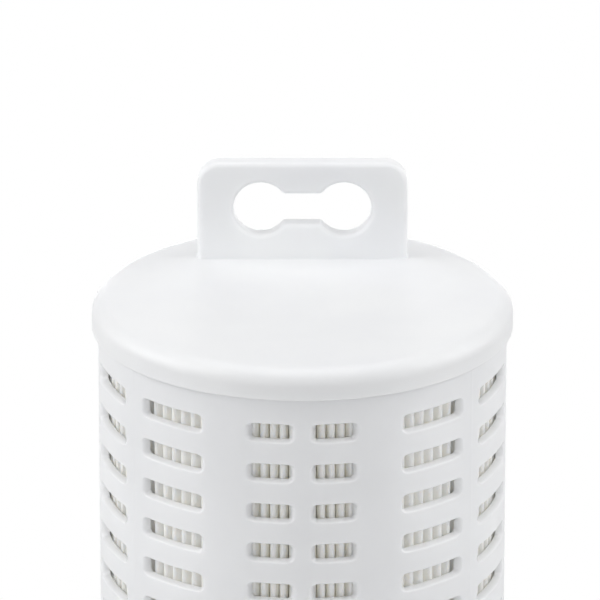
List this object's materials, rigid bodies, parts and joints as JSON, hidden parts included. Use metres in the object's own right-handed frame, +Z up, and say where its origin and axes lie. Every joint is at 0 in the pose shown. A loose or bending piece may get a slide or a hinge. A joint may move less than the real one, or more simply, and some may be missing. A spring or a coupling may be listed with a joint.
{
  "type": "high flow filter cartridge",
  "caption": "Cylindrical pleated filter cartridge with a windowed outer cage, a flat cap with a plate handle and a dog-bone finger opening, and an outlet spigot with O-rings.",
  "frame": {"origin": "centre of the outlet spigot's end face, which the cartridge stands on", "axes": "+Z up along the cartridge's axis towards the closed cap, +Y towards the handle at the back, +X along the handle's width"},
  "size_m": [0.1566, 0.1566, 0.5883],
  "materials": {
    "end_caps": "moulded white polypropylene, satin",
    "cage": "moulded white polypropylene, satin",
    "core": "moulded white polypropylene, satin",
    "pleats": "folded non-woven polypropylene, matt",
    "o_rings": "moulded black rubber, satin"
  },
  "bodies": {
    "root": {"closed_end_cap": "end_caps", "outer_cage_upper": "cage", "outer_cage_lower": "cage", "pleated_pack": "pleats", "inner_core_upper": "core", "inner_core_lower": "core", "open_end_cap": "end_caps", "o_ring_upper": "o_rings", "o_ring_lower": "o_rings"}
  },
  "joints": []
}
